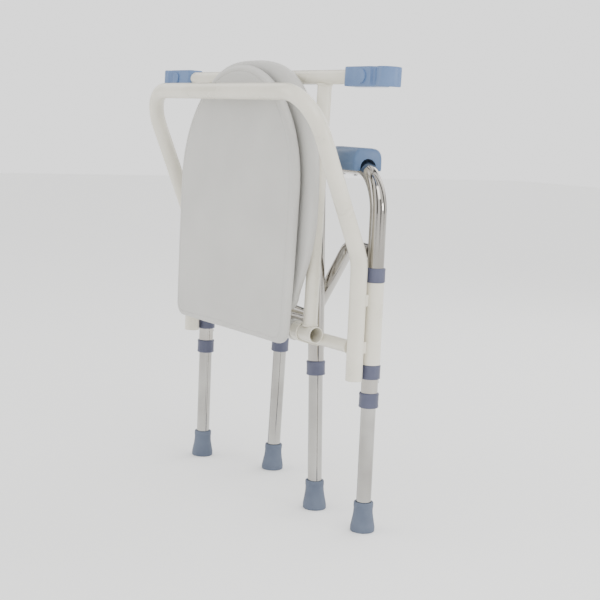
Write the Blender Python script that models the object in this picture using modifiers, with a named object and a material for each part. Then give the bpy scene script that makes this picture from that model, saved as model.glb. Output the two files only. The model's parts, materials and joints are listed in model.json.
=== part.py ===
"""Folding shower and commode chair, folded for storage, as separate pieces.

Metres, +Z up, +X along the folded width, the chair's front towards -Y. The floor is at z = 0.
"""

import math

import bmesh
import bpy
from mathutils import Matrix, Vector

# Driving dimensions.
GAP = 0.0003  # between pieces that touch
HINGE_GAP = 0.0006  # round a tube that turns in its sleeve
REAR_LEG_X = 0.280  # rear legs and backrest hoop, from the middle
REAR_LEG_Y = -0.03296  # the plane of the rear legs
TUBE_R = 0.0143  # side frames, hoop and seat pivot tube
TUBE_WALL = 0.0012
RAIL_R = 0.0122  # side rails, seat rails and clip bar
CROSSBAR_R = 0.0112
SIDES = 16  # facets round a tube

ARM_Z = 0.622  # armrest tube, centre
ARM_REAR_BEND = 0.075
ARM_FRONT_BEND = 0.055
UPPER_REAR_Z = 0.2435  # lower ends of the side frame tube
UPPER_FRONT_Z = 0.2700
FRONT_REACH = 0.390  # rear leg to front leg at RAKE_Z
RAKE_Z = 0.400
RAKE = 0.060  # outward lean of the front leg per metre of height
FOLD_LEFT = 180.0  # degrees, the direction each side frame points when folded
FOLD_RIGHT = -10.5

SRAIL_UNDER_ARM = 0.140
SRAIL_HIGH_Z = ARM_Z - SRAIL_UNDER_ARM
SRAIL_LOW_Z = 0.333
SRAIL_DROP_START = 0.105  # from the rear leg, where the rail starts down
SRAIL_DROP_RUN = 0.149
SRAIL_BEND = 0.035

SLEEVE_WALL = 0.0013
SLEEVE_Z = (0.292, 0.432)
SLEEVE_COLLAR_H = 0.0245
COLLAR_WALL = 0.0024
STUB_H = 0.020
STUB_W = 0.012

LEG_R = TUBE_R - TUBE_WALL - GAP  # lower tubes
LEG_TOP_Z = 0.330
LEG_BOTTOM_Z = 0.0075
SOLE_T = 0.0055
HOLE_R = 0.0037
HOLE_PITCH = 0.0315
HOLES = 8
LOCKED_REAR = 6  # the hole that each button stands in
LOCKED_FRONT = 7
FIRST_HOLE_Z = 0.0725
BUTTON_R = 0.0034
BUTTON_PROUD = 0.0026
LEG_COLLAR_H = 0.026
LEG_COLLAR_R = LEG_R + 0.0044
FOOT_H = 0.052
FOOT_R = LEG_R + 0.0084
FOOT_TOP_R = LEG_R + 0.0037

HOOP_CLEAR = 0.0035  # sleeve to hoop
HOOP_BACK = 2 * TUBE_R + HINGE_GAP + SLEEVE_WALL + HOOP_CLEAR  # hoop legs behind the rear legs
HOOP_BOTTOM_Z = 0.266
HOOP_BEND_Z = 0.470
HOOP_TOP_Z = 0.742
HOOP_LEAN = 0.420  # rearward per metre of height over the bend
HOOP_CORNER = 0.075
CROSSBAR_Z = 0.321

PIVOT_CLEAR = 0.0147  # hoop leg axis to the near side of the pivot tube
PIVOT_BACK = HOOP_BACK + TUBE_R + PIVOT_CLEAR
PIVOT_Z = 0.333
PIVOT_HALF = 0.205
SEAT_LEAN = 1.2  # degrees forward when folded
SEAT_RAIL_X = 0.185
SEAT_REACH = 0.437  # pivot to clip bar
CLIP_BAR_HALF = 0.300
BRACKET_X = 0.158
BRACKET_W = 0.020

CLIP_IN = 0.2585
CLIP_BODY_OUT = 0.3340
CLIP_OUT = 0.3755
CLIP_H = 0.0317
CLIP_T = 0.033
CLIP_CHANNEL_R = 0.0135

PAD_START = 0.046  # the pad overhangs the arm tube's rear bend
PAD_END = 0.160
PAD_W = 0.054
SCREW_IN = 0.018
PAD_BOTTOM = 0.006  # below the arm tube's centre
PAD_TOP = 0.033  # over the arm tube's centre

RING_FRONT = 0.0150  # ring's front face behind the seat frame's plane
RING_T = 0.020
RING_BOTTOM = 0.036
RING_HALF_W = 0.220
RING_HALF_BOTTOM = 0.178
RING_TOP = 0.466
RING_MID = 0.206
LID_FRONT = 0.0410
LID_T = 0.018
LID_BOTTOM = -0.018
LID_HALF_W = 0.195
LID_TOP = 0.456
LID_MID = 0.246

SEAT_HINGE_V = 0.0290
SEAT_HINGE_W = 0.0090
KNUCKLE_R = 0.0070
PIN_R = 0.0030
BLOCK_X = (0.132, 0.146)
RING_KNUCKLE_X = (0.115, 0.131)
LID_KNUCKLE_X = (0.098, 0.114)

CREAM = ((0.80, 0.77, 0.69, 1), 0.38, 0.0)
CHROME = ((0.62, 0.59, 0.55, 1), 0.18, 1.0)
SLATE = ((0.16, 0.19, 0.29, 1), 0.45, 0.0)
BLUE = ((0.14, 0.25, 0.45, 1), 0.50, 0.0)
RUBBER = ((0.15, 0.18, 0.23, 1), 0.75, 0.0)
SOFT = ((0.70, 0.68, 0.62, 1), 0.60, 0.0)
STEEL = ((0.55, 0.55, 0.55, 1), 0.30, 1.0)

for old in list(bpy.data.objects):
    bpy.data.objects.remove(old, do_unlink=True)

scene = bpy.context.scene
chair = bpy.data.collections.new("folding_shower_chair")
cutters = bpy.data.collections.new("cutters")
scene.collection.children.link(chair)
scene.collection.children.link(cutters)


def axis_empty(name, location, turn=(0, 0, 0)):
    empty = bpy.data.objects.new(name, None)
    empty.location = location
    empty.rotation_euler = [math.radians(a) for a in turn]
    empty.empty_display_size = 0.03
    chair.objects.link(empty)
    return empty


def material(name, look):
    mat = bpy.data.materials.new(name)
    mat.use_nodes = True
    shader = mat.node_tree.nodes["Principled BSDF"]
    shader.inputs["Base Color"].default_value = look[0]
    shader.inputs["Roughness"].default_value = look[1]
    shader.inputs["Metallic"].default_value = look[2]
    return mat


def place(name, bm, look, parent=None):
    """A finished piece in the chair's collection, under the empty on its joint's axis."""
    bmesh.ops.recalc_face_normals(bm, faces=bm.faces)
    mesh = bpy.data.meshes.new(name)
    bm.to_mesh(mesh)
    bm.free()
    mesh.shade_smooth()
    mesh.set_sharp_from_angle(angle=math.radians(35))
    obj = bpy.data.objects.new(name, mesh)
    mesh.materials.append(material(name, look))
    chair.objects.link(obj)
    obj.parent = parent
    return obj


def cut(obj, bm, operation="DIFFERENCE"):
    """Cut obj with a closed shape, or join the shape to it, in obj's own axes."""
    bmesh.ops.recalc_face_normals(bm, faces=bm.faces)
    mesh = bpy.data.meshes.new("cutter")
    bm.to_mesh(mesh)
    bm.free()
    tool = bpy.data.objects.new(f"{obj.name}_cutter", mesh)
    cutters.objects.link(tool)
    tool.parent = obj.parent
    tool.hide_render = True
    tool.display_type = "WIRE"
    boolean = obj.modifiers.new("cut", "BOOLEAN")
    boolean.operation = operation
    boolean.solver = "EXACT"
    boolean.object = tool


def bend(corners, radii, steps=5):
    """The points of a line through corners, rounded at each inner corner."""
    points = [Vector(corners[0])]
    for before, corner, after, radius in zip(corners, corners[1:], corners[2:], radii):
        corner = Vector(corner)
        back = (Vector(before) - corner).normalized()
        ahead = (Vector(after) - corner).normalized()
        half = back.angle(ahead) / 2
        reach = radius / math.tan(half)
        centre = corner + (back + ahead).normalized() * radius / math.sin(half)
        start = corner + back * reach - centre
        end = corner + ahead * reach - centre
        for i in range(steps + 1):
            points.append(centre + start.normalized().slerp(end.normalized(), i / steps) * radius)
    points.append(Vector(corners[-1]))
    return points


def swept(points, radius, sides=SIDES, caps=True):
    """A round bar along a path, as a curve with a bevel made into a mesh."""
    curve = bpy.data.curves.new("path", "CURVE")
    curve.dimensions = "3D"
    curve.bevel_depth = radius
    curve.bevel_resolution = (sides - 4) // 2
    curve.use_fill_caps = caps
    spline = curve.splines.new("POLY")
    spline.points.add(len(points) - 1)
    for point, place_at in zip(spline.points, points):
        point.co = (*place_at, 1)
    obj = bpy.data.objects.new("path", curve)
    cutters.objects.link(obj)
    graph = bpy.context.evaluated_depsgraph_get()
    mesh = bpy.data.meshes.new_from_object(obj.evaluated_get(graph))
    bm = bmesh.new()
    bm.from_mesh(mesh)
    bmesh.ops.remove_doubles(bm, verts=bm.verts, dist=0.00001)
    bpy.data.objects.remove(obj)
    return bm


def rod(radius, length, centre, axis="Z", sides=SIDES, top_radius=None):
    """A closed cylinder or cone about centre."""
    bm = bmesh.new()
    bmesh.ops.create_cone(
        bm,
        cap_ends=True,
        segments=sides,
        radius1=radius,
        radius2=radius if top_radius is None else top_radius,
        depth=length,
    )
    turn = {"X": Matrix.Rotation(math.pi / 2, 4, "Y"), "Y": Matrix.Rotation(-math.pi / 2, 4, "X"), "Z": Matrix()}
    bm.transform(Matrix.Translation(centre) @ turn[axis])
    return bm


def turned(profile, centre=(0, 0, 0), axis="Z", sides=SIDES):
    """A closed ring of revolution: profile is (radius, height) round the section."""
    bm = bmesh.new()
    rings = []
    for i in range(sides):
        angle = 2 * math.pi * (i + 0.5) / sides
        rings.append([bm.verts.new((r * math.cos(angle), r * math.sin(angle), h)) for r, h in profile])
    for near, far in zip(rings, rings[1:] + rings[:1]):
        for i in range(len(profile)):
            j = (i + 1) % len(profile)
            bm.faces.new((near[i], far[i], far[j], near[j]))
    turn = {"X": Matrix.Rotation(math.pi / 2, 4, "Y"), "Y": Matrix.Rotation(-math.pi / 2, 4, "X"), "Z": Matrix()}
    bm.transform(Matrix.Translation(centre) @ turn[axis])
    return bm


def tube_ring(inner, outer, length, centre, axis="Z", sides=SIDES, lip=0.0):
    """A short tube with its outer edges chamfered by lip."""
    half = length / 2
    profile = [(inner, -half), (outer - lip, -half)]
    if lip:
        profile += [(outer, -half + lip), (outer, half - lip)]
    profile += [(outer - lip, half), (inner, half)]
    return turned(profile, centre, axis, sides)


def box(size, centre):
    bm = bmesh.new()
    bmesh.ops.create_cube(bm, size=1)
    bm.transform(Matrix.Translation(centre) @ Matrix.Diagonal((*size, 1)))
    return bm


def slab(outline, low, high, hole=None):
    """An upright plate: outline and hole are (x, z) points, and low to high is its span in y."""
    bm = bmesh.new()
    loops = []
    for points in filter(None, (outline, hole)):
        front = [bm.verts.new((x, low, z)) for x, z in points]
        back = [bm.verts.new((x, high, z)) for x, z in points]
        loops.append((front, back))
        for i in range(len(points)):
            j = (i + 1) % len(points)
            bm.faces.new((front[i], front[j], back[j], back[i]))
    if hole is None:
        bm.faces.new(loops[0][0])
        bm.faces.new(loops[0][1])
    else:
        for side in (0, 1):
            outer, inner = loops[0][side], loops[1][side]
            for i in range(len(outer)):
                j = (i + 1) % len(outer)
                bm.faces.new((outer[i], outer[j], inner[j], inner[i]))
    return bm


def egg(half_w, bottom_half, bottom, mid, top, power, corner, count=36):
    """A seat outline, narrow and round at the top: the same count of points whatever its size."""
    points = []
    quarter = count // 4
    for i in range(quarter):
        angle = math.pi / 2 * i / quarter
        points.append((half_w * math.cos(angle) ** (2 / power), mid + (top - mid) * math.sin(angle) ** (2 / power)))
    points.append((0.0, top))
    right = [(bottom_half - corner, bottom), (bottom_half - corner * 0.29, bottom + corner * 0.29)]
    right += [(bottom_half, bottom + corner)]
    for i in range(1, 5):
        share = i / 5
        ease = math.sin(math.pi / 2 * share)
        right.append((bottom_half + (half_w - bottom_half) * ease, bottom + corner + (mid - bottom - corner) * share))
    half = right + points
    return half + [(-x, z) for x, z in reversed(half[:-1])]


def hollow_bar(name, points, radius, look, parent, wall=TUBE_WALL):
    """A tube open at both ends: a bar's skin with a wall inside it."""
    tube = place(name, swept(points, radius, caps=False), look, parent)
    skin = tube.modifiers.new("wall", "SOLIDIFY")
    skin.thickness = wall
    skin.offset = -1
    return tube


def leg_reach(z):
    """How far the front leg is from the rear leg at a height."""
    return FRONT_REACH + (RAKE_Z - z) * RAKE


# Backrest frame: hoop, crossbar and the hinge sleeves round the rear legs.
back = axis_empty("back_frame_axis", (0, REAR_LEG_Y, 0))
hoop_top_y = HOOP_BACK + HOOP_LEAN * (HOOP_TOP_Z - HOOP_BEND_Z)
hoop_corners = [
    (-REAR_LEG_X, HOOP_BACK, HOOP_BOTTOM_Z),
    (-REAR_LEG_X, HOOP_BACK, HOOP_BEND_Z),
    (-REAR_LEG_X, hoop_top_y, HOOP_TOP_Z),
    (REAR_LEG_X, hoop_top_y, HOOP_TOP_Z),
    (REAR_LEG_X, HOOP_BACK, HOOP_BEND_Z),
    (REAR_LEG_X, HOOP_BACK, HOOP_BOTTOM_Z),
]
hoop_radii = [0.09, HOOP_CORNER, HOOP_CORNER, 0.09]
hollow_bar("back_hoop", bend(hoop_corners, hoop_radii), TUBE_R, CREAM, back)
bar_half = REAR_LEG_X - TUBE_R - GAP
bar_ends = [(-bar_half, HOOP_BACK, CROSSBAR_Z), (bar_half, HOOP_BACK, CROSSBAR_Z)]
hollow_bar("back_crossbar", bar_ends, CROSSBAR_R, CREAM, back)

sleeve_in = TUBE_R + HINGE_GAP
sleeve_out = sleeve_in + SLEEVE_WALL
sleeve_mid = sum(SLEEVE_Z) / 2
for side, sx in (("left", 1), ("right", -1)):
    x = sx * REAR_LEG_X
    length = SLEEVE_Z[1] - SLEEVE_Z[0]
    sleeve = place(f"hinge_sleeve_{side}", tube_ring(sleeve_in, sleeve_out, length, (x, 0, sleeve_mid)), CREAM, back)
    for z in (SLEEVE_Z[0] + 0.03, SLEEVE_Z[1] - 0.03):
        low = sleeve_out - SLEEVE_WALL * 0.6
        high = HOOP_BACK - TUBE_R - GAP
        cut(sleeve, box((STUB_W, high - low, STUB_H), (x, (low + high) / 2, z)), "UNION")
    for end, edge, way in (("top", SLEEVE_Z[1], 1), ("bottom", SLEEVE_Z[0], -1)):
        centre = (x, 0, edge + way * (SLEEVE_COLLAR_H / 2 + GAP))
        ring = tube_ring(sleeve_in, sleeve_out + 0.0016, SLEEVE_COLLAR_H, centre, lip=0.0015)
        place(f"sleeve_collar_{end}_{side}", ring, SLATE, back)

    # A strap joins the crossbar to the seat's pivot tube, which turns in it.
    strap = bmesh.new()
    for y, z, r in ((HOOP_BACK, CROSSBAR_Z, CROSSBAR_R), (PIVOT_BACK, PIVOT_Z, TUBE_R)):
        part = rod(r + 0.0030, BRACKET_W, (sx * BRACKET_X, y, z), "X")
        mesh = bpy.data.meshes.new("strap")
        part.to_mesh(mesh)
        strap.from_mesh(mesh)
        part.free()
    shell = bmesh.ops.convex_hull(strap, input=strap.verts)
    loose = [g for g in shell["geom_interior"] + shell["geom_unused"] if isinstance(g, bmesh.types.BMVert)]
    bmesh.ops.delete(strap, geom=loose, context="VERTS")
    inside = [f for f in strap.faces if f not in set(shell["geom"])]
    bmesh.ops.delete(strap, geom=inside, context="FACES")
    bracket = place(f"pivot_bracket_{side}", strap, CREAM, back)
    for y, z, r in ((HOOP_BACK, CROSSBAR_Z, CROSSBAR_R + GAP), (PIVOT_BACK, PIVOT_Z, TUBE_R + HINGE_GAP)):
        cut(bracket, rod(r, BRACKET_W * 2, (sx * BRACKET_X, y, z), "X"))


def leg_matrix(front):
    """Where a leg stands in its side frame, and how it leans: its own Z runs up the leg."""
    if not front:
        return Matrix()
    lean = Matrix.Rotation(-math.atan(RAKE), 4, "Y")
    return Matrix.Translation((leg_reach(0), 0, 0)) @ lean


# Side frames: each swings on its rear leg. The left one lies in the back plane, the right one in front of it.
for side, sx, heading in (("left", 1, FOLD_LEFT), ("right", -1, FOLD_RIGHT)):
    frame = axis_empty(f"side_frame_{side}_axis", (sx * REAR_LEG_X, REAR_LEG_Y, 0), (0, 0, heading))
    corners = [(0, 0, UPPER_REAR_Z), (0, 0, ARM_Z)]
    corners += [(leg_reach(ARM_Z), 0, ARM_Z), (leg_reach(UPPER_FRONT_Z), 0, UPPER_FRONT_Z)]
    path = bend(corners, [ARM_REAR_BEND, ARM_FRONT_BEND], 7)
    tube = hollow_bar(f"side_frame_tube_{side}", path, TUBE_R, CHROME, frame)

    drop_end = SRAIL_DROP_START + SRAIL_DROP_RUN
    rail_start = TUBE_R + GAP * 2
    rail_end = leg_reach(SRAIL_LOW_Z + RAIL_R) - TUBE_R * math.sqrt(1 + RAKE * RAKE) - GAP * 2
    rail_corners = [
        (rail_start, 0, SRAIL_HIGH_Z),
        (SRAIL_DROP_START, 0, SRAIL_HIGH_Z),
        (drop_end, 0, SRAIL_LOW_Z),
        (rail_end, 0, SRAIL_LOW_Z),
    ]
    rail_path = bend(rail_corners, [SRAIL_BEND] * 2)
    hollow_bar(f"side_rail_{side}", rail_path, RAIL_R, CHROME, frame)

    # The armrest pad is moulded over the tube, with an arch for it underneath.
    pad = bmesh.new()
    half = PAD_W / 2
    arch = [(TUBE_R + GAP * 2, -PAD_BOTTOM)]
    arch += [((TUBE_R + GAP * 2) * math.cos(math.radians(a)), (TUBE_R + GAP * 2) * math.sin(math.radians(a)))
             for a in (0, 30, 60, 90)]
    edge = [(0, PAD_TOP), (half * 0.5, PAD_TOP - 0.0010), (half * 0.82, PAD_TOP - 0.0045),
            (half, PAD_TOP - 0.0130), (half, -PAD_BOTTOM)]
    half_section = edge + arch
    section = half_section + [(-v, w) for v, w in reversed(half_section[1:-1])]
    rings = []
    for u in (PAD_START, PAD_END):
        rings.append([pad.verts.new((u, v, ARM_Z + w)) for v, w in section])
    for i in range(len(section)):
        j = (i + 1) % len(section)
        pad.faces.new((rings[0][i], rings[0][j], rings[1][j], rings[1][i]))
    pad.faces.new(rings[0])
    pad.faces.new(rings[1])
    place(f"armrest_pad_{side}", pad, BLUE, frame)
    for spot, u in (("rear", ARM_REAR_BEND + SCREW_IN), ("front", PAD_END - SCREW_IN)):
        z = ARM_Z - TUBE_R - 0.0009 - GAP
        place(f"pad_screw_{spot}_{side}", rod(0.0042, 0.0018, (u, 0, z), "Z", 10), STEEL, frame)

    for spot, front, end_z, locked in (("rear", False, UPPER_REAR_Z, LOCKED_REAR), ("front", True, UPPER_FRONT_Z, LOCKED_FRONT)):
        where = leg_matrix(front)
        stretch = math.sqrt(1 + RAKE * RAKE) if front else 1.0
        collar_z = (end_z - GAP) * stretch - LEG_COLLAR_H / 2
        inner = LEG_R + GAP
        collar = tube_ring(inner, LEG_COLLAR_R, LEG_COLLAR_H, (0, 0, collar_z), lip=0.0018)
        collar.transform(where)
        place(f"leg_collar_{spot}_{side}", collar, SLATE, frame)

        leg = tube_ring(LEG_R - TUBE_WALL, LEG_R, LEG_TOP_Z - LEG_BOTTOM_Z, (0, 0, (LEG_TOP_Z + LEG_BOTTOM_Z) / 2))
        leg.transform(where)
        leg_obj = place(f"lower_leg_{spot}_{side}", leg, CHROME, frame)
        button_z = FIRST_HOLE_Z + locked * HOLE_PITCH
        face = 1 if side == "left" else -1
        for i in range(HOLES):
            hole = rod(HOLE_R, LEG_R * 1.2, (0, face * LEG_R, FIRST_HOLE_Z + i * HOLE_PITCH), "Y", 8)
            hole.transform(where)
            cut(leg_obj, hole)
        window = rod(HOLE_R, TUBE_R, (0, face * TUBE_R, button_z), "Y", 8)
        window.transform(where)
        cut(tube, window)
        base = LEG_R + GAP
        tip = TUBE_R + BUTTON_PROUD
        button = rod(BUTTON_R, tip - base, (0, face * (tip + base) / 2, button_z), "Y", 8)
        button.transform(where)
        place(f"spring_button_{spot}_{side}", button, STEEL, frame)

        mid_r = LEG_R + GAP
        foot_rings = [(FOOT_R - 0.0015, 0.0), (FOOT_R, 0.003), (FOOT_R, 0.009), (FOOT_TOP_R, 0.030), (FOOT_TOP_R, FOOT_H),
                      (mid_r, FOOT_H), (mid_r, SOLE_T)]
        foot = bmesh.new()
        loops = []
        for r, h in foot_rings:
            loops.append([foot.verts.new((r * math.cos(2 * math.pi * (i + 0.5) / SIDES),
                                          r * math.sin(2 * math.pi * (i + 0.5) / SIDES), h)) for i in range(SIDES)])
        for low, high in zip(loops, loops[1:]):
            for i in range(SIDES):
                j = (i + 1) % SIDES
                foot.faces.new((low[i], low[j], high[j], high[i]))
        foot.faces.new(loops[0])
        foot.faces.new(loops[-1])
        if front:
            shear = Matrix.Identity(4)
            shear[0][2] = -RAKE
            foot.transform(Matrix.Translation((leg_reach(0), 0, 0)) @ shear)
        place(f"foot_{spot}_{side}", foot, RUBBER, frame)

# Seat frame: it folds up about the pivot tube.
seat = axis_empty("seat_axis", (0, REAR_LEG_Y + PIVOT_BACK, PIVOT_Z), (SEAT_LEAN, 0, 0))
hollow_bar("seat_pivot_tube", [(-PIVOT_HALF, 0, 0), (PIVOT_HALF, 0, 0)], TUBE_R, CREAM, seat)
clip_bar_ends = [(-CLIP_BAR_HALF, 0, SEAT_REACH), (CLIP_BAR_HALF, 0, SEAT_REACH)]
hollow_bar("clip_bar", clip_bar_ends, RAIL_R, CREAM, seat)
for side, sx in (("left", 1), ("right", -1)):
    low = TUBE_R + GAP
    high = SEAT_REACH - RAIL_R - GAP
    hollow_bar(f"seat_rail_{side}", [(sx * SEAT_RAIL_X, 0, low), (sx * SEAT_RAIL_X, 0, high)], RAIL_R, CREAM, seat)

    # A moulded clip closes each end of the bar, and its channel drops over the side rail when the seat is down.
    middle = sx * (CLIP_IN + CLIP_OUT) / 2
    clip = place(f"rail_clip_{side}", box((CLIP_OUT - CLIP_IN, CLIP_T, CLIP_H), (middle, 0, SEAT_REACH)), BLUE, seat)
    bore_end = CLIP_BAR_HALF + GAP
    bore = rod(RAIL_R + GAP, bore_end - CLIP_IN + 0.02, (sx * (bore_end + CLIP_IN - 0.02) / 2, 0, SEAT_REACH), "X")
    cut(clip, bore)
    channel_x = sx * (CLIP_BODY_OUT + CLIP_OUT) / 2
    cut(clip, rod(CLIP_CHANNEL_R, CLIP_H * 2, (channel_x, -CLIP_T / 2, SEAT_REACH), "Z"))
    boss = rod(0.0112, 0.003, (sx * 0.31, CLIP_T / 2 + 0.0015 + GAP, SEAT_REACH), "Y")
    place(f"clip_cap_{side}", boss, BLUE, seat)

    # The hinge block is clamped round the pivot tube and carries the pin.
    block_x = sx * sum(BLOCK_X) / 2
    block_w = BLOCK_X[1] - BLOCK_X[0]
    block = place(f"hinge_block_{side}", tube_ring(TUBE_R + GAP, TUBE_R + 0.004, block_w, (block_x, 0, 0), "X"), SOFT, seat)
    arm_low = TUBE_R + 0.0015
    arm = box((block_w, SEAT_HINGE_V + KNUCKLE_R - arm_low, KNUCKLE_R * 2),
              (block_x, (SEAT_HINGE_V + KNUCKLE_R + arm_low) / 2, SEAT_HINGE_W))
    cut(block, arm, "UNION")
    cut(block, rod(PIN_R + GAP, block_w * 2, (block_x, SEAT_HINGE_V, SEAT_HINGE_W), "X", 12))

# Ring and lid turn on the same two pins, so they hang from an empty on that axis.
hinge = axis_empty("seat_hinge_axis", (0, SEAT_HINGE_V, SEAT_HINGE_W))
hinge.parent = seat
FROM_HINGE = Matrix.Translation((0, -SEAT_HINGE_V, -SEAT_HINGE_W))


def hung(bm):
    """A shape in the seat's axes, moved into the hinge's."""
    bm.transform(FROM_HINGE)
    return bm


ring_outline = egg(RING_HALF_W, RING_HALF_BOTTOM, RING_BOTTOM, RING_MID, RING_TOP, 2.65, 0.03)
hole_outline = []
for x, z in ring_outline:
    angle = math.atan2(z - 0.245, x)
    hole_outline.append((0.108 * math.cos(angle), 0.245 + 0.140 * math.sin(angle)))
ring = place("seat_ring", hung(slab(ring_outline, RING_FRONT, RING_FRONT + RING_T, hole_outline)), SOFT, hinge)
lid_outline = egg(LID_HALF_W, 0.188, LID_BOTTOM, LID_MID, LID_TOP, 2.0, 0.03)
lid = place("seat_lid", hung(slab(lid_outline, LID_FRONT, LID_FRONT + LID_T)), SOFT, hinge)
for sx in (1, -1):
    for piece, span in ((ring, RING_KNUCKLE_X), (lid, LID_KNUCKLE_X)):
        x = sx * sum(span) / 2
        width = span[1] - span[0]
        cut(piece, rod(KNUCKLE_R, width, (x, 0, 0), "X", 12), "UNION")
        if piece is ring:
            cut(piece, box((width, 0.008, 0.030), (x, 0, 0.020)), "UNION")
        else:
            cut(piece, box((width, 0.010, 0.010), (x, 0.009, 0)), "UNION")
        cut(piece, rod(PIN_R + GAP, width * 2, (x, 0, 0), "X", 12))
for side, sx in (("left", 1), ("right", -1)):
    length = BLOCK_X[1] - LID_KNUCKLE_X[0] + 0.004
    x = sx * (BLOCK_X[1] + LID_KNUCKLE_X[0]) / 2
    place(f"hinge_pin_{side}", rod(PIN_R, length, (x, 0, 0), "X", 12), STEEL, hinge)
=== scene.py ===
import json
import math

import bmesh
import bpy
from mathutils import Matrix, Vector


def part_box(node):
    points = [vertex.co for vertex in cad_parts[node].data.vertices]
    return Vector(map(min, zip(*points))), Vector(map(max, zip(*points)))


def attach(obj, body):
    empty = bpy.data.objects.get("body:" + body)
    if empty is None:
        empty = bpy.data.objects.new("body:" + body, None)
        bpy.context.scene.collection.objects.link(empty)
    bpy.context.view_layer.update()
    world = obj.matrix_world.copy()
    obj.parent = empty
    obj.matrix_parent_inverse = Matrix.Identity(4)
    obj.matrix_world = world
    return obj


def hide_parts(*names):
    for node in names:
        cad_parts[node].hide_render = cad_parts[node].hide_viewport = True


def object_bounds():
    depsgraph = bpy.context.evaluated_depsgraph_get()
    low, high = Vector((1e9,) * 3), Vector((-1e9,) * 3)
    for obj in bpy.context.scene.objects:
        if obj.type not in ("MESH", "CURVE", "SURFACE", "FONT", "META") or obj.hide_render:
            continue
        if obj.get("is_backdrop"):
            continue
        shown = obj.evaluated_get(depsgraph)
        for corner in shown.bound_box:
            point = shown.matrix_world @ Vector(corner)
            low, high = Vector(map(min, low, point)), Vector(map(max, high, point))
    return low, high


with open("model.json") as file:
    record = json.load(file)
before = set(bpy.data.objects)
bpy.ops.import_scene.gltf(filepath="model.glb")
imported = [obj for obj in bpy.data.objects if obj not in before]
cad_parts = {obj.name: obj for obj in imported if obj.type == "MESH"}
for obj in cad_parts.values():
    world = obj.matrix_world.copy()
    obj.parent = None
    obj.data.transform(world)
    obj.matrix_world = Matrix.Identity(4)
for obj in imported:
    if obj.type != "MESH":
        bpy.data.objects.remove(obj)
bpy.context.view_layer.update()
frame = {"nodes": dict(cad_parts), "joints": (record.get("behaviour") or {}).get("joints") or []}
joints = {joint["name"]: joint for joint in frame["joints"]}


# Studio: a pale floor, soft light from above and both sides, and the camera
# behind the chair's right rear corner.
CAMERA_AZIMUTH = math.radians(235.86)
CAMERA_PITCH = math.radians(7.79)
CAMERA_ROLL = math.radians(2.47)
look = Vector((-math.sin(CAMERA_AZIMUTH) * math.cos(CAMERA_PITCH),
               math.cos(CAMERA_AZIMUTH) * math.cos(CAMERA_PITCH), -math.sin(CAMERA_PITCH)))
level = look.cross(Vector((0, 0, 1))).normalized()
upright = level.cross(look)
right = level * math.cos(CAMERA_ROLL) + upright * math.sin(CAMERA_ROLL)
up = upright * math.cos(CAMERA_ROLL) - level * math.sin(CAMERA_ROLL)
camera_data = bpy.data.cameras.new("camera")
camera_data.lens = 77.06
camera_data.clip_start = 0.01
camera = bpy.data.objects.new("camera", camera_data)
turn = Matrix((right, up, -look)).transposed().to_4x4()
camera.matrix_world = Matrix.Translation((-1.986, 1.274, 0.690)) @ turn
bpy.context.scene.collection.objects.link(camera)
bpy.context.scene.camera = camera

world = bpy.data.worlds.new("studio")
world.use_nodes = True
background = world.node_tree.nodes["Background"]
background.inputs["Strength"].default_value = 1.7
panels = world.node_tree.nodes.new("ShaderNodeTexGradient")
panels.gradient_type = "RADIAL"
wave = world.node_tree.nodes.new("ShaderNodeMath")
wave.operation = "PINGPONG"
wave.inputs[1].default_value = 1 / 14
bands = world.node_tree.nodes.new("ShaderNodeMapRange")
for socket, value in (("From Min", 0.010), ("From Max", 0.042), ("To Min", 0.03), ("To Max", 1.1)):
    bands.inputs[socket].default_value = value
direct = world.node_tree.nodes.new("ShaderNodeLightPath")
shown = world.node_tree.nodes.new("ShaderNodeMix")
shown.inputs["B"].default_value = 1.0
where = world.node_tree.nodes.new("ShaderNodeTexCoord")
wire = world.node_tree.links.new
wire(where.outputs["Generated"], panels.inputs["Vector"])
wire(panels.outputs["Fac"], wave.inputs[0])
wire(wave.outputs[0], bands.inputs["Value"])
glossy = world.node_tree.nodes.new("ShaderNodeMath")
glossy.operation = "SUBTRACT"
glossy.inputs[0].default_value = 1.0
wire(direct.outputs["Is Glossy Ray"], glossy.inputs[1])
wire(glossy.outputs[0], shown.inputs["Factor"])
wire(bands.outputs["Result"], shown.inputs["A"])
wire(shown.outputs["Result"], background.inputs["Color"])
bpy.context.scene.world = world
for name, spot, width, power in (
    ("key_light", (-2.2, 0.4, 2.4), 1.4, 24), ("fill_light", (1.6, 2.6, 1.6), 1.8, 14),
    ("front_light", (0.4, -2.6, 2.0), 1.8, 22), ("edge_light", (-2.4, -1.2, 1.0), 0.5, 12),
):
    lamp = bpy.data.lights.new(name, "AREA")
    lamp.size = width
    lamp.energy = power
    holder = bpy.data.objects.new(name, lamp)
    holder.location = spot
    holder.rotation_euler = (Vector((0, 0, 0.4)) - Vector(spot)).to_track_quat("-Z", "Y").to_euler()
    bpy.context.scene.collection.objects.link(holder)

floor_mesh = bpy.data.meshes.new("floor")
floor_shape = bmesh.new()
bmesh.ops.create_grid(floor_shape, x_segments=1, y_segments=1, size=12)
floor_shape.to_mesh(floor_mesh)
floor_shape.free()
floor = bpy.data.objects.new("floor", floor_mesh)
bpy.context.scene.collection.objects.link(floor)
floor_finish = bpy.data.materials.new("pale_floor")
floor_finish.use_nodes = True
floor_finish.node_tree.nodes["Principled BSDF"].inputs["Base Color"].default_value = (0.93, 0.93, 0.92, 1)
floor_finish.node_tree.nodes["Principled BSDF"].inputs["Roughness"].default_value = 0.7
floor_mesh.materials.append(floor_finish)
floor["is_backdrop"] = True


# Backrest hoop: one bent metal tube with a cream powder coat, open at both
# lower ends. The coat has a faint orange peel and slightly uneven gloss.
TUBE_R = 0.0143
TUBE_WALL = 0.0012


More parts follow.
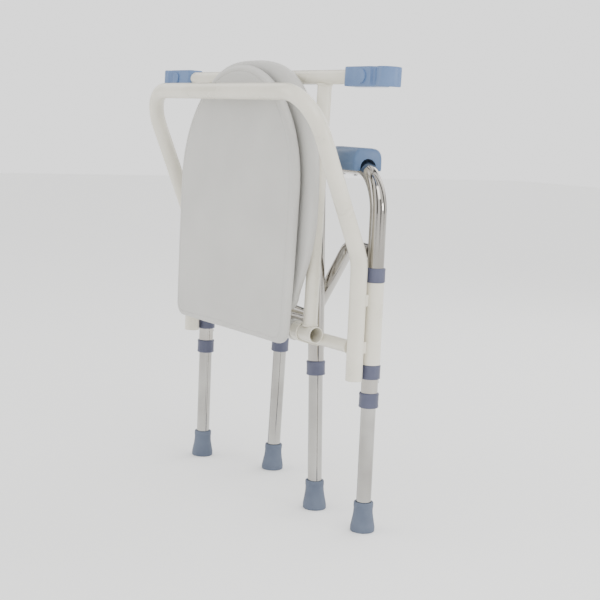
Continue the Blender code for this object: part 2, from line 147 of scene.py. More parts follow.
def surface_marks():
    """Node group of the small unevenness that handling and moulding leave: a shade, a gloss and a height."""
    tree = bpy.data.node_groups.new("surface_marks", "ShaderNodeTree")
    for socket, kind, value in (
        ("Grain Scale", "NodeSocketFloat", 400.0), ("Marks Scale", "NodeSocketFloat", 14.0),
        ("Gloss Low", "NodeSocketFloat", 0.3), ("Gloss High", "NodeSocketFloat", 0.45),
        ("Dark", "NodeSocketColor", (0.5, 0.5, 0.5, 1)), ("Light", "NodeSocketColor", (0.6, 0.6, 0.6, 1)),
    ):
        tree.interface.new_socket(socket, in_out="INPUT", socket_type=kind).default_value = value
    for socket, kind in (("Color", "NodeSocketColor"), ("Roughness", "NodeSocketFloat"),
                         ("Height", "NodeSocketFloat")):
        tree.interface.new_socket(socket, in_out="OUTPUT", socket_type=kind)
    new, link = tree.nodes.new, tree.links.new
    inputs, outputs, where = new("NodeGroupInput"), new("NodeGroupOutput"), new("ShaderNodeTexCoord")
    marks, grain = new("ShaderNodeTexNoise"), new("ShaderNodeTexNoise")
    marks.inputs["Detail"].default_value = 6
    grain.inputs["Detail"].default_value = 3
    for noise, scale in ((marks, "Marks Scale"), (grain, "Grain Scale")):
        link(where.outputs["Object"], noise.inputs["Vector"])
        link(inputs.outputs[scale], noise.inputs["Scale"])
    spread = new("ShaderNodeMapRange")
    spread.inputs["From Min"].default_value = 0.35
    spread.inputs["From Max"].default_value = 0.65
    link(marks.outputs["Fac"], spread.inputs["Value"])
    shade = new("ShaderNodeMix")
    shade.data_type = "RGBA"
    link(spread.outputs["Result"], shade.inputs["Factor"])
    link(inputs.outputs["Dark"], shade.inputs["A"])
    link(inputs.outputs["Light"], shade.inputs["B"])
    gloss = new("ShaderNodeMapRange")
    link(spread.outputs["Result"], gloss.inputs["Value"])
    link(inputs.outputs["Gloss Low"], gloss.inputs["To Min"])
    link(inputs.outputs["Gloss High"], gloss.inputs["To Max"])
    link(shade.outputs["Result"], outputs.inputs["Color"])
    link(gloss.outputs["Result"], outputs.inputs["Roughness"])
    link(grain.outputs["Fac"], outputs.inputs["Height"])
    return tree


MARKS = surface_marks()


def finish(name, dark, light, gloss, grain, depth, marks=14.0, metal=0.0, coat=0.0, sheen=0.0):
    """A finish whose shade and gloss wander between two values, with a fine grain."""
    made = bpy.data.materials.new(name)
    made.use_nodes = True
    new, link = made.node_tree.nodes.new, made.node_tree.links.new
    shader = made.node_tree.nodes["Principled BSDF"]
    shader.inputs["Metallic"].default_value = metal
    shader.inputs["Coat Weight"].default_value = coat
    shader.inputs["Coat Roughness"].default_value = 0.12
    shader.inputs["Sheen Weight"].default_value = sheen
    group = new("ShaderNodeGroup")
    group.node_tree = MARKS
    group.inputs["Grain Scale"].default_value = grain
    group.inputs["Marks Scale"].default_value = marks
    group.inputs["Gloss Low"].default_value = gloss[0]
    group.inputs["Gloss High"].default_value = gloss[1]
    group.inputs["Dark"].default_value = (*dark, 1)
    group.inputs["Light"].default_value = (*light, 1)
    bump = new("ShaderNodeBump")
    bump.inputs["Strength"].default_value = 0.5
    bump.inputs["Distance"].default_value = depth
    link(group.outputs["Color"], shader.inputs["Base Color"])
    link(group.outputs["Roughness"], shader.inputs["Roughness"])
    link(group.outputs["Height"], bump.inputs["Height"])
    link(bump.outputs["Normal"], shader.inputs["Normal"])
    return made


CREAM_COAT = finish("cream_powder_coat", (0.66, 0.63, 0.53), (0.73, 0.70, 0.60), (0.26, 0.38),
                    650, 0.00025, coat=0.25)


def bend(corners, radii, steps=14):
    """A line through corners, rounded at each inner corner."""
    points = [Vector(corners[0])]
    for before, corner, after, radius in zip(corners, corners[1:], corners[2:], radii):
        corner = Vector(corner)
        back = (Vector(before) - corner).normalized()
        ahead = (Vector(after) - corner).normalized()
        half = back.angle(ahead) / 2
        reach = radius / math.tan(half)
        centre = corner + (back + ahead).normalized() * radius / math.sin(half)
        start = (corner + back * reach - centre).normalized()
        end = (corner + ahead * reach - centre).normalized()
        points += [centre + start.slerp(end, i / steps) * radius for i in range(steps + 1)]
    return points + [Vector(corners[-1])]


def evaluated(obj):
    """The finished mesh of a working object, which is then thrown away."""
    graph = bpy.context.evaluated_depsgraph_get()
    mesh = bpy.data.meshes.new_from_object(obj.evaluated_get(graph))
    bpy.data.objects.remove(obj)
    return mesh


def tube(points, radius, wall=0.0, sides=40):
    """A round bar along a path, or with a wall a tube that is open at both ends."""
    curve = bpy.data.curves.new("path", "CURVE")
    curve.dimensions = "3D"
    curve.bevel_depth = radius
    curve.bevel_resolution = (sides - 4) // 2
    curve.use_fill_caps = not wall
    spline = curve.splines.new("POLY")
    spline.points.add(len(points) - 1)
    for point, spot in zip(spline.points, points):
        point.co = (*spot, 1)
    holder = bpy.data.objects.new("path", curve)
    bpy.context.scene.collection.objects.link(holder)
    shape = bmesh.new()
    shape.from_mesh(evaluated(holder))
    bmesh.ops.remove_doubles(shape, verts=shape.verts, dist=0.00001)
    bmesh.ops.recalc_face_normals(shape, faces=shape.faces)
    if wall:
        skin = bpy.data.meshes.new("skin")
        shape.to_mesh(skin)
        holder = bpy.data.objects.new("skin", skin)
        bpy.context.scene.collection.objects.link(holder)
        thick = holder.modifiers.new("wall", "SOLIDIFY")
        thick.thickness = wall
        thick.offset = -1
        shape.clear()
        shape.from_mesh(evaluated(holder))
    return shape


def piece(name, shape, look, body, nodes, sharp=35):
    """Puts a finished shape on the chair in place of its plain CAD nodes."""
    mesh = bpy.data.meshes.new(name)
    shape.to_mesh(mesh)
    shape.free()
    mesh.shade_smooth()
    mesh.set_sharp_from_angle(angle=math.radians(sharp))
    mesh.materials.clear()
    mesh.materials.append(look)
    obj = bpy.data.objects.new(name, mesh)
    bpy.context.scene.collection.objects.link(obj)
    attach(obj, body)
    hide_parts(*nodes)
    return obj


rear_left = Vector(joints["side_swing_left"]["pos_m"])
rear_right = Vector(joints["side_swing_right"]["pos_m"])
rear_x = rear_left.x
hoop_low, hoop_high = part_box("back_hoop")
hoop_top_z = 0.742
hoop_top_y = hoop_high.y - TUBE_R
hoop_leg_y = hoop_low.y + TUBE_R
hoop = [(-rear_x, hoop_leg_y, hoop_low.z), (-rear_x, hoop_leg_y, 0.470), (-rear_x, hoop_top_y, hoop_top_z),
        (rear_x, hoop_top_y, hoop_top_z), (rear_x, hoop_leg_y, 0.470), (rear_x, hoop_leg_y, hoop_low.z)]
piece("backrest_hoop", tube(bend(hoop, [0.09, 0.075, 0.075, 0.09]), TUBE_R, TUBE_WALL), CREAM_COAT,
      "back_frame", ["back_hoop"])


# Crossbar: a thinner coated tube welded between the hoop's legs, with a
# coated weld bead where it meets each leg.
def bead_tree():
    """Geometry Nodes: a ring of overlapping drops, the ripples of a weld bead, with its sizes as inputs."""
    tree = bpy.data.node_groups.new("weld_bead", "GeometryNodeTree")
    for socket, kind in (("Ring Radius", "NodeSocketFloat"), ("Drop Size", "NodeSocketFloat"),
                         ("Drops", "NodeSocketInt"), ("Coat", "NodeSocketMaterial")):
        tree.interface.new_socket(socket, in_out="INPUT", socket_type=kind)
    tree.interface.new_socket("Geometry", in_out="OUTPUT", socket_type="NodeSocketGeometry")
    new, link = tree.nodes.new, tree.links.new
    inputs, outputs = new("NodeGroupInput"), new("NodeGroupOutput")
    ring, drop = new("GeometryNodeMeshCircle"), new("GeometryNodeMeshIcoSphere")
    points = new("GeometryNodeInstanceOnPoints")
    real, coat = new("GeometryNodeRealizeInstances"), new("GeometryNodeSetMaterial")
    drop.inputs["Subdivisions"].default_value = 2
    link(inputs.outputs["Drops"], ring.inputs["Vertices"])
    link(inputs.outputs["Ring Radius"], ring.inputs["Radius"])
    link(inputs.outputs["Drop Size"], drop.inputs["Radius"])
    link(ring.outputs["Mesh"], points.inputs["Points"])
    link(drop.outputs["Mesh"], points.inputs["Instance"])
    link(points.outputs["Instances"], real.inputs["Geometry"])
    link(real.outputs["Geometry"], coat.inputs["Geometry"])
    link(inputs.outputs["Coat"], coat.inputs["Material"])
    link(coat.outputs["Geometry"], outputs.inputs["Geometry"])
    return tree


BEAD = bead_tree()


def bead(radius, size, centre, facing, look):
    """One weld bead: a ring of drops about centre, whose plane faces along facing."""
    holder = bpy.data.objects.new("bead", bpy.data.meshes.new("bead"))
    bpy.context.scene.collection.objects.link(holder)
    weld = holder.modifiers.new("bead", "NODES")
    weld.node_group = BEAD
    drops = max(10, int(6.283 * radius / (size * 0.75)))
    values = {"Ring Radius": radius, "Drop Size": size, "Drops": drops, "Coat": look}
    for item in BEAD.interface.items_tree:
        if item.in_out == "INPUT":
            weld[item.identifier] = values[item.name]
    shape = bmesh.new()
    shape.from_mesh(evaluated(holder))
    turn = Vector((0, 0, 1)).rotation_difference(Vector(facing)).to_matrix().to_4x4()
    shape.transform(Matrix.Translation(centre) @ turn)
    return shape


def joined(shapes):
    """Several shapes as one."""
    whole = bmesh.new()
    for shape in shapes:
        mesh = bpy.data.meshes.new("part")
        shape.to_mesh(mesh)
        shape.free()
        whole.from_mesh(mesh)
        bpy.data.meshes.remove(mesh)
    return whole


bar_low, bar_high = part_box("back_crossbar")
bar_mid = (bar_low + bar_high) / 2
bar_r = (bar_high.z - bar_low.z) / 2
piece("crossbar_tube", tube([(bar_low.x, bar_mid.y, bar_mid.z), (bar_high.x, bar_mid.y, bar_mid.z)], bar_r),
      CREAM_COAT, "back_frame", ["back_crossbar"])
welds = [bead(bar_r + 0.0002, 0.0014, (x, bar_mid.y, bar_mid.z), (1, 0, 0), CREAM_COAT)
         for x in (bar_low.x + 0.0018, bar_high.x - 0.0018)]
piece("crossbar_welds", joined(welds), CREAM_COAT, "back_frame", [])


# Hinge sleeves: a coated tube round each rear leg, held to the hoop by two
# short plates, with a slate plastic collar at each end for the leg to turn in.
SLATE = finish("slate_plastic", (0.060, 0.066, 0.112), (0.080, 0.086, 0.140), (0.34, 0.5),
               900, 0.00018, marks=25)
SLEEVE_IN = 0.0149
SLEEVE_OUT = 0.0162


def turned(profile, centre, sides=48, turn=Matrix()):
    """A ring of revolution about Z: profile is (radius, height) points round the section."""
    shape = bmesh.new()
    rings = []
    for i in range(sides):
        angle = 2 * math.pi * i / sides
        rings.append([shape.verts.new((r * math.cos(angle), r * math.sin(angle), h)) for r, h in profile])
    for near, far in zip(rings, rings[1:] + rings[:1]):
        for i in range(len(profile)):
            j = (i + 1) % len(profile)
            shape.faces.new((near[i], far[i], far[j], near[j]))
    shape.transform(Matrix.Translation(centre) @ turn)
    bmesh.ops.recalc_face_normals(shape, faces=shape.faces)
    return shape


def rounded_ring(inner, outer, height, soft, waist=0.0):
    """The section of a moulded collar: round outer edges, and a shallow waist."""
    half = height / 2
    side = [(inner, -half), (outer - soft, -half)]
    side += [(outer - soft + soft * math.sin(a), -half + soft - soft * math.cos(a))
             for a in (0.4, 0.8, 1.2, 1.57)]
    side += [(outer - waist, -half + soft + 0.003), (outer - waist, half - soft - 0.003)]
    side += [(outer - soft + soft * math.sin(a), half - soft + soft * math.cos(a))
             for a in (1.57, 1.2, 0.8, 0.4)]
    return side + [(outer - soft, half), (inner, half)]


def block(low, high, soft=0.001, segments=3):
    """A box with rounded edges."""
    shape = bmesh.new()
    bmesh.ops.create_cube(shape, size=1)
    low, high = Vector(low), Vector(high)
    shape.transform(Matrix.Translation((low + high) / 2) @ Matrix.Diagonal((*(high - low), 1)))
    bmesh.ops.bevel(shape, geom=shape.edges[:], offset=soft, segments=segments, profile=0.5, affect="EDGES")
    return shape


for side, hinge in (("left", rear_left), ("right", rear_right)):
    low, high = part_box(f"hinge_sleeve_{side}")
    length = high.z - low.z
    shapes = [turned([(SLEEVE_IN, 0), (SLEEVE_OUT, 0), (SLEEVE_OUT, length), (SLEEVE_IN, length)],
                     (hinge.x, hinge.y, low.z))]
    for z in (low.z + 0.03, high.z - 0.03):
        shapes.append(block((hinge.x - 0.006, hinge.y + SLEEVE_OUT - 0.0009, z - 0.010),
                            (hinge.x + 0.006, hoop_leg_y - TUBE_R + 0.0012, z + 0.010)))
    piece(f"sleeve_{side}", joined(shapes), CREAM_COAT, "back_frame", [f"hinge_sleeve_{side}"])
    for end in ("top", "bottom"):
        low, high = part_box(f"sleeve_collar_{end}_{side}")
        section = rounded_ring(SLEEVE_IN, (high.x - low.x) / 2, high.z - low.z, 0.0022, 0.0003)
        piece(f"collar_{end}_{side}", turned(section, (hinge.x, hinge.y, (low.z + high.z) / 2)), SLATE,
              "back_frame", [f"sleeve_collar_{end}_{side}"])


# Pivot straps: pressed metal plates, coated with the frame. Their CAD shape
# is right, so they only take the coat.
for side in ("left", "right"):
    strap = frame["nodes"][f"pivot_bracket_{side}"]
    strap.data.materials.clear()
    strap.data.materials.append(CREAM_COAT)


# Side frames: rear leg, armrest and front leg are one polished stainless
# tube, with an S-shaped rail welded across it at seat height.
STAINLESS = finish("polished_stainless", (0.36, 0.34, 0.31), (0.48, 0.46, 0.43), (0.07, 0.16),
                   900, 0.00004, marks=9, metal=1.0)
FRONT_REACH = 0.390
RAKE = 0.060
RAKE_Z = 0.400
ARM_REAR_BEND = 0.075
ARM_FRONT_BEND = 0.055
RAIL_R = 0.0122
UPPER_REAR_Z = 0.2435
UPPER_FRONT_Z = 0.2700
BUTTON_REAR_Z = 0.2615
BUTTON_FRONT_Z = 0.2930
HOLE_R = 0.0037
DROP_START = 0.105
DROP_END = 0.254


def reach(z):
    """How far the front leg is from the rear leg at a height."""
    return FRONT_REACH + (RAKE_Z - z) * RAKE


def carve(shape, cutters):
    """Cuts round holes through a closed shape."""
    holders = []
    for part in (shape, cutters):
        mesh = bpy.data.meshes.new("work")
        bmesh.ops.recalc_face_normals(part, faces=part.faces)
        part.to_mesh(mesh)
        part.free()
        holder = bpy.data.objects.new("work", mesh)
        bpy.context.scene.collection.objects.link(holder)
        holders.append(holder)
    boolean = holders[0].modifiers.new("cut", "BOOLEAN")
    boolean.operation = "DIFFERENCE"
    boolean.solver = "EXACT"
    boolean.object = holders[1]
    done = bmesh.new()
    done.from_mesh(evaluated(holders[0]))
    bpy.data.objects.remove(holders[1])
    return done


def peg(radius, length, centre, facing, sides=24, soft=0.0):
    """A round peg about centre, along facing."""
    shape = bmesh.new()
    bmesh.ops.create_cone(shape, cap_ends=True, segments=sides, radius1=radius, radius2=radius, depth=length)
    if soft:
        rim = [edge for edge in shape.edges if all(v.co.z > 0 for v in edge.verts)
               and len(edge.link_faces[0].verts) != len(edge.link_faces[1].verts)]
        bmesh.ops.bevel(shape, geom=rim, offset=soft, segments=3, profile=0.5, affect="EDGES")
    turn = Vector((0, 0, 1)).rotation_difference(Vector(facing)).to_matrix().to_4x4()
    shape.transform(Matrix.Translation(centre) @ turn)
    return shape


arm_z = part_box("side_frame_tube_left")[1].z - TUBE_R
side_place = {}
for side, hinge in (("left", rear_left), ("right", rear_right)):
    low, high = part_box(f"foot_front_{side}")
    away = (low + high) / 2 - hinge
    heading = math.atan2(away.y, away.x)
    side_place[side] = Matrix.Translation((hinge.x, hinge.y, 0)) @ Matrix.Rotation(heading, 4, "Z")
    at = side_place[side]
    body = f"side_frame_{side}"
    face = 1 if side == "left" else -1
    corners = [(0, 0, UPPER_REAR_Z), (0, 0, arm_z)]
    corners += [(reach(arm_z), 0, arm_z), (reach(UPPER_FRONT_Z), 0, UPPER_FRONT_Z)]
    line = bend(corners, [ARM_REAR_BEND, ARM_FRONT_BEND], 20)
    shape = tube(line, TUBE_R, TUBE_WALL)
    tilt = Matrix.Translation((reach(0), 0, 0)) @ Matrix.Rotation(-math.atan(RAKE), 4, "Y")
    rear_window = peg(HOLE_R, TUBE_R, (0, face * TUBE_R, BUTTON_REAR_Z), (0, 1, 0))
    front_window = peg(HOLE_R, TUBE_R, (0, face * TUBE_R, BUTTON_FRONT_Z), (0, 1, 0))
    front_window.transform(tilt)
    shape = carve(shape, joined([rear_window, front_window]))
    shape.transform(at)
    piece(f"armrest_tube_{side}", shape, STAINLESS, body, [f"side_frame_tube_{side}"])

    rail_low, rail_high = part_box(f"side_rail_{side}")
    high_z, low_z = rail_high.z - RAIL_R, rail_low.z + RAIL_R
    ends = [(TUBE_R - 0.001, 0, high_z), (DROP_START, 0, high_z), (DROP_END, 0, low_z),
            (reach(low_z) - TUBE_R + 0.001, 0, low_z)]
    shape = tube(bend(ends, [0.035, 0.035]), RAIL_R, TUBE_WALL)
    shape.transform(at)
    piece(f"s_rail_{side}", shape, STAINLESS, body, [f"side_rail_{side}"])
    welds = joined([bead(RAIL_R + 0.0001, 0.0013, (ends[0][0] + 0.003, 0, high_z), (1, 0, 0), STAINLESS),
                    bead(RAIL_R + 0.0001, 0.0013, (ends[3][0] - 0.003, 0, low_z), (1, 0, 0), STAINLESS)])
    welds.transform(at)
    piece(f"s_rail_welds_{side}", welds, STAINLESS, body, [])


# Armrest pads: blue plastic moulded over the arm tube, crowned on top with
# rounded ends and an arch underneath, held by two screws.
PAD_BLUE = finish("blue_pad_plastic", (0.060, 0.115, 0.225), (0.080, 0.145, 0.265), (0.38, 0.52),
                  500, 0.00035, marks=18, sheen=0.1)
SCREW_STEEL = finish("plated_screw", (0.42, 0.42, 0.43), (0.56, 0.56, 0.57), (0.25, 0.4),
                     700, 0.00005, metal=1.0)
PAD_START = 0.046
PAD_END = 0.160
PAD_HALF = 0.027
PAD_TOP = 0.033
PAD_BOTTOM = 0.006


def pad_section(grow):
    """The pad's section across the arm, drawn in towards the tube by grow near its ends."""
    wide, tall = PAD_HALF - grow, PAD_TOP - grow
    inner = TUBE_R + 0.0004
    right = [(0.0, tall), (wide * 0.35, tall - 0.0004), (wide * 0.62, tall - 0.0018),
             (wide * 0.80, tall - 0.0046), (wide * 0.92, tall - 0.0090), (wide * 0.985, tall - 0.0150),
             (wide, tall - 0.0220), (wide, -PAD_BOTTOM + 0.002),
             (wide - 0.0015, -PAD_BOTTOM), (inner + 0.0015, -PAD_BOTTOM), (inner, -PAD_BOTTOM + 0.0015)]
    right += [(inner * math.cos(math.radians(a)), inner * math.sin(math.radians(a)))
              for a in range(0, 91, 10)]
    return right + [(-v, w) for v, w in reversed(right[1:-1])]


for side in ("left", "right"):
    at = side_place[side]
    body = f"side_frame_{side}"
    shape = bmesh.new()
    ease = [(0.0, 0.0045), (0.0008, 0.0026), (0.0024, 0.0010), (0.0050, 0.0)]
    spans = [(PAD_START + u, g) for u, g in ease] + [(PAD_END - u, g) for u, g in reversed(ease)]
    rings = [[shape.verts.new((u, v, arm_z + w)) for v, w in pad_section(g)] for u, g in spans]
    for near, far in zip(rings, rings[1:]):
        for i in range(len(near)):
            j = (i + 1) % len(near)
            shape.faces.new((near[i], far[i], far[j], near[j]))
    shape.faces.new(rings[0])
    shape.faces.new(rings[-1])
    bmesh.ops.recalc_face_normals(shape, faces=shape.faces)
    shape.transform(at)
    piece(f"arm_pad_{side}", shape, PAD_BLUE, body, [f"armrest_pad_{side}"], 50)
    for spot in ("rear", "front"):
        low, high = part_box(f"pad_screw_{spot}_{side}")
        middle = (low + high) / 2
        head = bmesh.new()
        bmesh.ops.create_cone(head, cap_ends=True, segments=24, radius1=0.0030, radius2=0.0043, depth=0.0020)
        head.transform(Matrix.Translation(middle))
        piece(f"pad_screw_head_{spot}_{side}", head, SCREW_STEEL, body, [f"pad_screw_{spot}_{side}"])


# Telescoping legs: a slate collar closes each upper tube, a sprung steel
# button locks the leg, and the lower tube has a row of holes for it.
LEG_R = 0.0128
LEG_BOTTOM_Z = 0.0075
LEG_TOP_Z = 0.330
HOLES = 8
HOLE_PITCH = 0.0315
FIRST_HOLE_Z = 0.0725
LOWER_STEEL = finish("polished_lower_tube", (0.34, 0.33, 0.31), (0.46, 0.45, 0.43), (0.08, 0.18),
                     900, 0.00004, marks=11, metal=1.0)
RUBBER = finish("foot_rubber", (0.080, 0.102, 0.150), (0.105, 0.130, 0.182), (0.55, 0.72),
                700, 0.0005, marks=30)
FOOT_H = 0.052
BUTTON_R = 0.0034
for side in ("left", "right"):
    for spot in ("rear", "front"):
        body = f"side_frame_{side}"
        leg_body = f"lower_leg_{spot}_{side}"
        at = side_place[side].copy()
        if spot == "front":
            at = at @ Matrix.Translation((reach(0), 0, 0)) @ Matrix.Rotation(-math.atan(RAKE), 4, "Y")
        face = 1 if side == "left" else -1
        low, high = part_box(f"leg_collar_{spot}_{side}")
        middle = at.inverted() @ ((low + high) / 2)
        section = rounded_ring(LEG_R + 0.0003, 0.0172, 0.026, 0.0024, 0.0005)
        shape = turned(section, (0, 0, middle.z))
        shape.transform(at)
        piece(f"leg_collar_{spot}_{side}_moulded", shape, SLATE, body, [f"leg_collar_{spot}_{side}"])

        bore = LEG_R - TUBE_WALL
        shape = turned([(bore, LEG_BOTTOM_Z), (LEG_R, LEG_BOTTOM_Z), (LEG_R, LEG_TOP_Z), (bore, LEG_TOP_Z)],
                       (0, 0, 0))
        holes = [peg(HOLE_R, LEG_R * 1.2, (0, face * LEG_R, FIRST_HOLE_Z + i * HOLE_PITCH), (0, 1, 0))
                 for i in range(HOLES)]
        shape = carve(shape, joined(holes))
        shape.transform(at)
        piece(f"lower_tube_{spot}_{side}", shape, LOWER_STEEL, leg_body, [f"lower_leg_{spot}_{side}"])

        base, tip = LEG_R + 0.0003, TUBE_R + 0.0026
        button_z = BUTTON_REAR_Z if spot == "rear" else BUTTON_FRONT_Z
        shape = peg(BUTTON_R, tip - base, (0, face * (tip + base) / 2, button_z), (0, face, 0), 24, 0.0014)
        shape.transform(at)
        piece(f"button_dome_{spot}_{side}", shape, SCREW_STEEL, f"button_{spot}_{side}",
              [f"spring_button_{spot}_{side}"])

        inner = LEG_R + 0.0003
        section = [(0.004, 0.0022), (0.0155, 0.0022), (0.0165, 0.0), (0.0200, 0.0), (0.0209, 0.0008),
                   (0.0212, 0.0025),
                   (0.0212, 0.0085), (0.0206, 0.0110), (0.0192, 0.0190), (0.0177, 0.0270), (0.0169, 0.0330),
                   (0.0166, 0.0400), (0.0166, 0.0420), (0.0171, 0.0428), (0.0171, 0.0500), (0.0163, 0.0516),
                   (inner + 0.0008, FOOT_H), (inner, FOOT_H - 0.0010), (inner, 0.0058), (0.004, 0.0058)]
        shape = turned(section, (0, 0, 0))
        if spot == "front":
            lean = Matrix.Identity(4)
            lean[0][2] = -RAKE
            shape.transform(side_place[side] @ Matrix.Translation((reach(0), 0, 0)) @ lean)
        else:
            shape.transform(side_place[side])
        piece(f"rubber_foot_{spot}_{side}", shape, RUBBER, leg_body, [f"foot_{spot}_{side}"])


# Seat frame: pivot tube, two rails and the clip bar, all coated tube. It is
# modelled in the seat's own axes, about its pivot, and leans a little forward.
SEAT_LEAN = math.radians(1.2)
seat_at = Matrix.Translation(joints["seat_fold"]["pos_m"]) @ Matrix.Rotation(SEAT_LEAN, 4, "X")
SEAT_REACH = 0.437
SEAT_RAIL_X = 0.185
PIVOT_HALF = 0.205
seat_shapes = {
    "pivot_tube": (tube([(-PIVOT_HALF, 0, 0), (PIVOT_HALF, 0, 0)], TUBE_R, 0.0016), "seat_pivot_tube"),
    "clip_bar_tube": (tube([(-0.300, 0, SEAT_REACH), (0.300, 0, SEAT_REACH)], RAIL_R), "clip_bar"),
}
for side, x in (("left", SEAT_RAIL_X), ("right", -SEAT_RAIL_X)):
    rail = tube([(x, 0, 0.012), (x, 0, SEAT_REACH - 0.010)], RAIL_R)
    seat_shapes[f"seat_rail_tube_{side}"] = (rail, f"seat_rail_{side}")
for name, (shape, node) in seat_shapes.items():
    shape.transform(seat_at)
    piece(name, shape, CREAM_COAT, "seat_frame", [node])
welds = joined([bead(RAIL_R + 0.0003, 0.0015, (x, 0, z), (0, 0, 1), CREAM_COAT)
                for x in (-SEAT_RAIL_X, SEAT_RAIL_X) for z in (0.0150, SEAT_REACH - 0.0128)])
welds.transform(seat_at)
piece("seat_frame_welds", welds, CREAM_COAT, "seat_frame", [])


# Rail clips: blue plastic caps on the bar's ends. Each has a flat body with a
# round cap on its back, a groove, and a half-round saddle that drops on a rail.
CLIP_BLUE = finish("blue_clip_plastic", (0.085, 0.150, 0.300), (0.110, 0.185, 0.345), (0.34, 0.46),
                   700, 0.0002, marks=22)
CLIP_IN, CLIP_NECK, CLIP_MID, CLIP_OUT = 0.2585, 0.3340, 0.3548, 0.3755
CLIP_HALF_T = 0.0165
CLIP_HALF_H = 0.0158
SADDLE_R = CLIP_OUT - CLIP_MID
CHANNEL_R = 0.0135


def arc(centre, radius, start, end, steps):
    """Points on an arc, in degrees from +X."""
    angles = [math.radians(start + (end - start) * i / steps) for i in range(steps + 1)]
    return [(centre[0] + radius * math.cos(a), centre[1] + radius * math.sin(a)) for a in angles]


def extruded(outline, low, high, soft):
    """An outline in X and Y raised from low to high, with its two rims rounded."""
    shape = bmesh.new()
    floor_ring = [shape.verts.new((x, y, low)) for x, y in outline]
    base = shape.faces.new(floor_ring)
    raised = bmesh.ops.extrude_face_region(shape, geom=[base])
    for vert in [g for g in raised["geom"] if isinstance(g, bmesh.types.BMVert)]:
        vert.co.z = high
    bmesh.ops.recalc_face_normals(shape, faces=shape.faces)
    rims = [edge for edge in shape.edges if abs(edge.verts[0].co.z - edge.verts[1].co.z) < 1e-6]
    bmesh.ops.bevel(shape, geom=rims, offset=soft, segments=4, profile=0.5, affect="EDGES")
    return shape


for side, sx in (("left", 1), ("right", -1)):
    saddle_y = CLIP_HALF_T - SADDLE_R
    outline = arc((CLIP_IN + 0.008, -CLIP_HALF_T + 0.008), 0.008, 270, 180, 6)
    outline += arc((CLIP_IN + 0.008, CLIP_HALF_T - 0.008), 0.008, 180, 90, 6)
    outline += [(CLIP_NECK - 0.0015, CLIP_HALF_T), (CLIP_NECK, CLIP_HALF_T - 0.0035),
                (CLIP_NECK + 0.0032, CLIP_HALF_T - 0.0050)]
    outline += arc((CLIP_MID, saddle_y), SADDLE_R, 126, -34, 18)
    outline += arc((CLIP_MID, -CLIP_HALF_T), CHANNEL_R, 0, 180, 16)
    shape = extruded(outline, SEAT_REACH - CLIP_HALF_H, SEAT_REACH + CLIP_HALF_H, 0.0018)
    shape.transform(Matrix.Diagonal((sx, 1, 1, 1)))
    bmesh.ops.recalc_face_normals(shape, faces=shape.faces)
    shape.transform(seat_at)
    piece(f"moulded_clip_{side}", shape, CLIP_BLUE, "seat_frame", [f"rail_clip_{side}"], 40)
    cap = peg(0.0112, 0.0034, (sx * 0.31, CLIP_HALF_T + 0.0014, SEAT_REACH), (0, 1, 0), 40, 0.0012)
    cap.transform(seat_at)
    piece(f"clip_round_cap_{side}", cap, CLIP_BLUE, "seat_frame", [f"clip_cap_{side}"])


# Hinge blocks and pins: white plastic clamps on the pivot tube that carry the
# two pins of the lid and the ring. Their CAD shapes are right.
HINGE_WHITE = finish("white_hinge_plastic", (0.60, 0.59, 0.55), (0.68, 0.67, 0.63), (0.35, 0.5), 600, 0.0002)
for side in ("left", "right"):
    for node, look in ((f"hinge_block_{side}", HINGE_WHITE), (f"hinge_pin_{side}", SCREW_STEEL)):
        mesh = frame["nodes"][node].data
        mesh.materials.clear()
        mesh.materials.append(look)


# Seat ring and lid: thick soft off-white foam with a smooth skin, egg-shaped
# and narrow at the front, with a fine pressed line round the lid's edge.
FOAM = finish("off_white_foam_skin", (0.470, 0.464, 0.440), (0.520, 0.514, 0.488), (0.48, 0.60),
              420, 0.0006, marks=7, sheen=0.15)


def egg(half_w, bottom_half, bottom, middle, top, power, corner, steps=28):
    """Half outlines mirrored: a base with round corners, sides that swell, and a rounded narrow top."""
    right = [(bottom_half * share, bottom) for share in (0.2, 0.4, 0.6, 0.8)]
    right += arc((bottom_half - corner, bottom + corner), corner, -90, -6, 6)
    for i in range(1, 14):
        share = i / 14
        right.append((bottom_half + (half_w - bottom_half) * math.sin(math.pi / 2 * share),
                      bottom + corner + (middle - bottom - corner) * share))
    for i in range(steps):
        angle = math.pi / 2 * i / steps
        right.append((half_w * math.cos(angle) ** (2 / power),
                      middle + (top - middle) * math.sin(angle) ** (2 / power)))
    return [(0, bottom), *right, (0, top), *[(-x, z) for x, z in reversed(right)]]


ring_outline = egg(0.218, 0.178, 0.036, 0.206, 0.466, 2.65, 0.03)
ring_mid = Vector((0, 0.245))
RING_V, RING_T = 0.0150, 0.020
shape = bmesh.new()
loops = []
SECTION = 22
for x, z in ring_outline:
    angle = math.atan2(z - ring_mid.y, x)
    inner = (0.108 * math.cos(angle), ring_mid.y + 0.140 * math.sin(angle))
    loop = []
    for k in range(SECTION):
        a = 2 * math.pi * k / SECTION
        share = 0.5 + 0.5 * math.copysign(abs(math.cos(a)) ** 0.45, math.cos(a))
        high = math.copysign(abs(math.sin(a)) ** 0.55, math.sin(a)) * RING_T / 2
        loop.append(shape.verts.new((inner[0] + (x - inner[0]) * share, RING_V + RING_T / 2 + high,
                                     inner[1] + (z - inner[1]) * share)))
    loops.append(loop)
for near, far in zip(loops, loops[1:] + loops[:1]):
    for k in range(SECTION):
        m = (k + 1) % SECTION
        shape.faces.new((near[k], far[k], far[m], near[m]))
bmesh.ops.recalc_face_normals(shape, faces=shape.faces)


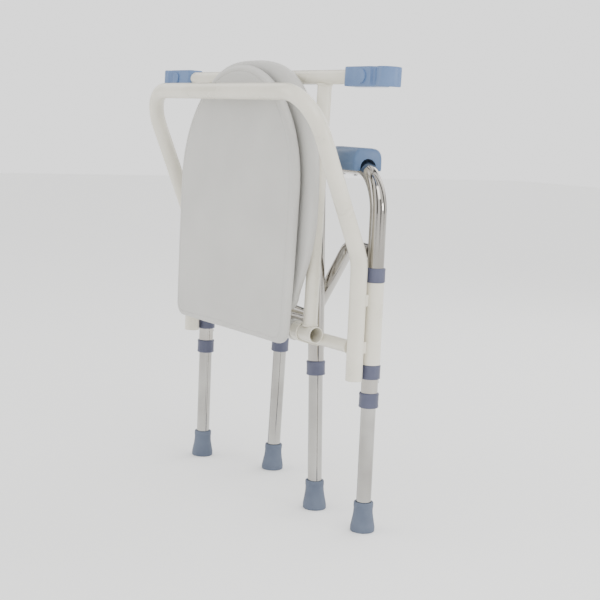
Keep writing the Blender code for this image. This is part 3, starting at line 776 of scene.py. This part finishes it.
def knuckles(span, low, high):
    """The hinge eyes of the ring or the lid, each with the arm that joins it on."""
    made = []
    for sx in (1, -1):
        x = sx * sum(span) / 2
        half = (span[1] - span[0]) / 2
        eye = turned([(0.0034, -half), (0.0070, -half), (0.0070, half), (0.0034, half)],
                     (x, 0.0290, 0.0090), 28, Matrix.Rotation(math.pi / 2, 4, "Y"))
        made += [eye, block((x - half, low[0], low[1]), (x + half, high[0], high[1]), 0.0008)]
    return made


shape = joined([shape, *knuckles((0.115, 0.131), (0.0255, 0.0145), (0.0325, 0.0420))])
shape.transform(seat_at)
ring = piece("commode_ring", shape, FOAM, "seat_ring", ["seat_ring"], 50)

lid_outline = egg(0.195, 0.188, -0.018, 0.246, 0.456, 2.0, 0.022)
LID_V, LID_T = 0.0410, 0.018
lid_mid = Vector((0, 0.215))
EDGE = [(0.0, 0.0), (0.0003, 0.35), (0.0012, 0.62), (0.0028, 0.82), (0.0050, 0.95), (0.0080, 1.0),
        (0.0100, 0.97), (0.0112, 0.90), (0.0124, 0.97), (0.0150, 1.0),
        (0.040, 1.03), (0.080, 1.06), (0.120, 1.08), (0.160, 1.09)]
shape = bmesh.new()
layers = []
for face, depths in ((-1, [(d, min(h, 1.0)) for d, h in reversed(EDGE[1:])]), (1, EDGE)):
    for d, h in depths:
        layer = []
        for x, z in lid_outline:
            out = Vector((x, z)) - lid_mid
            spot = lid_mid + out * max(0.04, 1 - d / out.length)
            layer.append(shape.verts.new((spot.x, LID_V + LID_T / 2 + face * h * LID_T / 2, spot.y)))
        layers.append(layer)
for near, far in zip(layers, layers[1:]):
    for i in range(len(near)):
        j = (i + 1) % len(near)
        shape.faces.new((near[i], near[j], far[j], far[i]))
shape.faces.new(layers[0])
shape.faces.new(layers[-1])
bmesh.ops.recalc_face_normals(shape, faces=shape.faces)
shape = joined([shape, *knuckles((0.098, 0.114), (0.0335, 0.0040), (0.0430, 0.0140))])
shape.transform(seat_at)
lid = piece("commode_lid", shape, FOAM, "seat_lid", ["seat_lid"], 50)

low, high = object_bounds()
